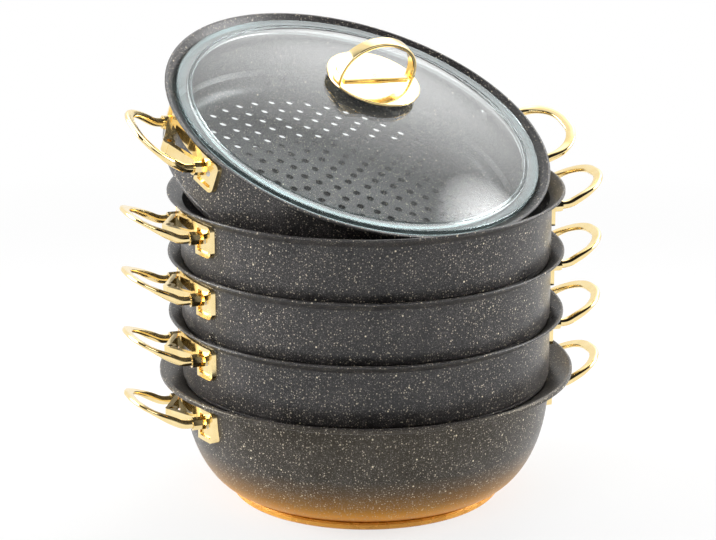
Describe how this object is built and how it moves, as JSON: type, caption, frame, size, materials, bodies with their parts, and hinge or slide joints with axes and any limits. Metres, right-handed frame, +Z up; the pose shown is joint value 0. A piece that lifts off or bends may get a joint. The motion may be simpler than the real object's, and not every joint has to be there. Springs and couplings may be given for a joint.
{
  "type": "steamer pot",
  "caption": "Stacking steamer pot: rounded base, perforated steaming tiers with gold loop handles, and a domed glass lid on a top tier that leans in the stack.",
  "frame": {"origin": "on the pot's axis, at the surface that its foot stands on", "axes": "+Z up, +X out through the right-hand handles of the level vessels"},
  "size_m": [0.3795, 0.3154, 0.3541],
  "materials": {
    "granite": "speckled granite non-stick coating, satin",
    "granite_ombre": "speckled granite coating that fades to amber at the foot, satin",
    "amber_foot": "amber enamel, gloss",
    "gold": "polished gold plate",
    "steel": "satin",
    "gasket": "matt silicone",
    "glass": "clear tempered glass"
  },
  "bodies": {
    "base_pot": {"base_shell": "granite_ombre", "base_floor": "granite_ombre", "base_foot": "amber_foot", "base_bracket_right": "gold", "base_bracket_left": "gold", "base_bow_right": "gold", "base_bow_left": "gold", "base_rivets": "steel"},
    "tier_1": {"tier_1_shell": "granite", "tier_1_floor": "granite", "tier_1_bracket_right": "gold", "tier_1_bracket_left": "gold", "tier_1_bow_right": "gold", "tier_1_bow_left": "gold", "tier_1_rivets": "steel"},
    "tier_2": {"tier_2_shell": "granite", "tier_2_floor": "granite", "tier_2_bracket_right": "gold", "tier_2_bracket_left": "gold", "tier_2_bow_right": "gold", "tier_2_bow_left": "gold", "tier_2_rivets": "steel"},
    "tier_3": {"tier_3_shell": "granite", "tier_3_floor": "granite", "tier_3_bracket_right": "gold", "tier_3_bracket_left": "gold", "tier_3_bow_right": "gold", "tier_3_bow_left": "gold", "tier_3_rivets": "steel"},
    "tier_4": {"tier_4_shell": "granite", "tier_4_floor": "granite", "tier_4_bracket_right": "gold", "tier_4_bracket_left": "gold", "tier_4_bow_right": "gold", "tier_4_bow_left": "gold", "tier_4_rivets": "steel"},
    "lid": {"lid_glass": "glass", "lid_gasket": "gasket", "lid_knob_plate": "gold", "lid_knob_arch": "gold", "lid_knob_screw": "steel"}
  },
  "joints": [
    {"name": "tier_1_lift", "type": "slide", "parent": "base_pot", "child": "tier_1", "axis": [0, 0, 1], "range_m": [0, 0.12]},
    {"name": "tier_2_lift", "type": "slide", "parent": "tier_1", "child": "tier_2", "axis": [0, 0, 1], "range_m": [0, 0.12]},
    {"name": "tier_3_lift", "type": "slide", "parent": "tier_2", "child": "tier_3", "axis": [0, 0, 1], "range_m": [0, 0.12]},
    {"name": "tier_4_tilt", "type": "hinge", "parent": "tier_3", "child": "tier_4", "pos_m": [0.00134, -0.00291, 0.3021], "axis": [0.9085, 0.4179, 0], "range_deg": [-23.1, 0]},
    {"name": "lid_lift", "type": "slide", "parent": "tier_4", "child": "lid", "axis": [0.1639, -0.3564, 0.9198], "range_m": [0, 0.1]}
  ]
}
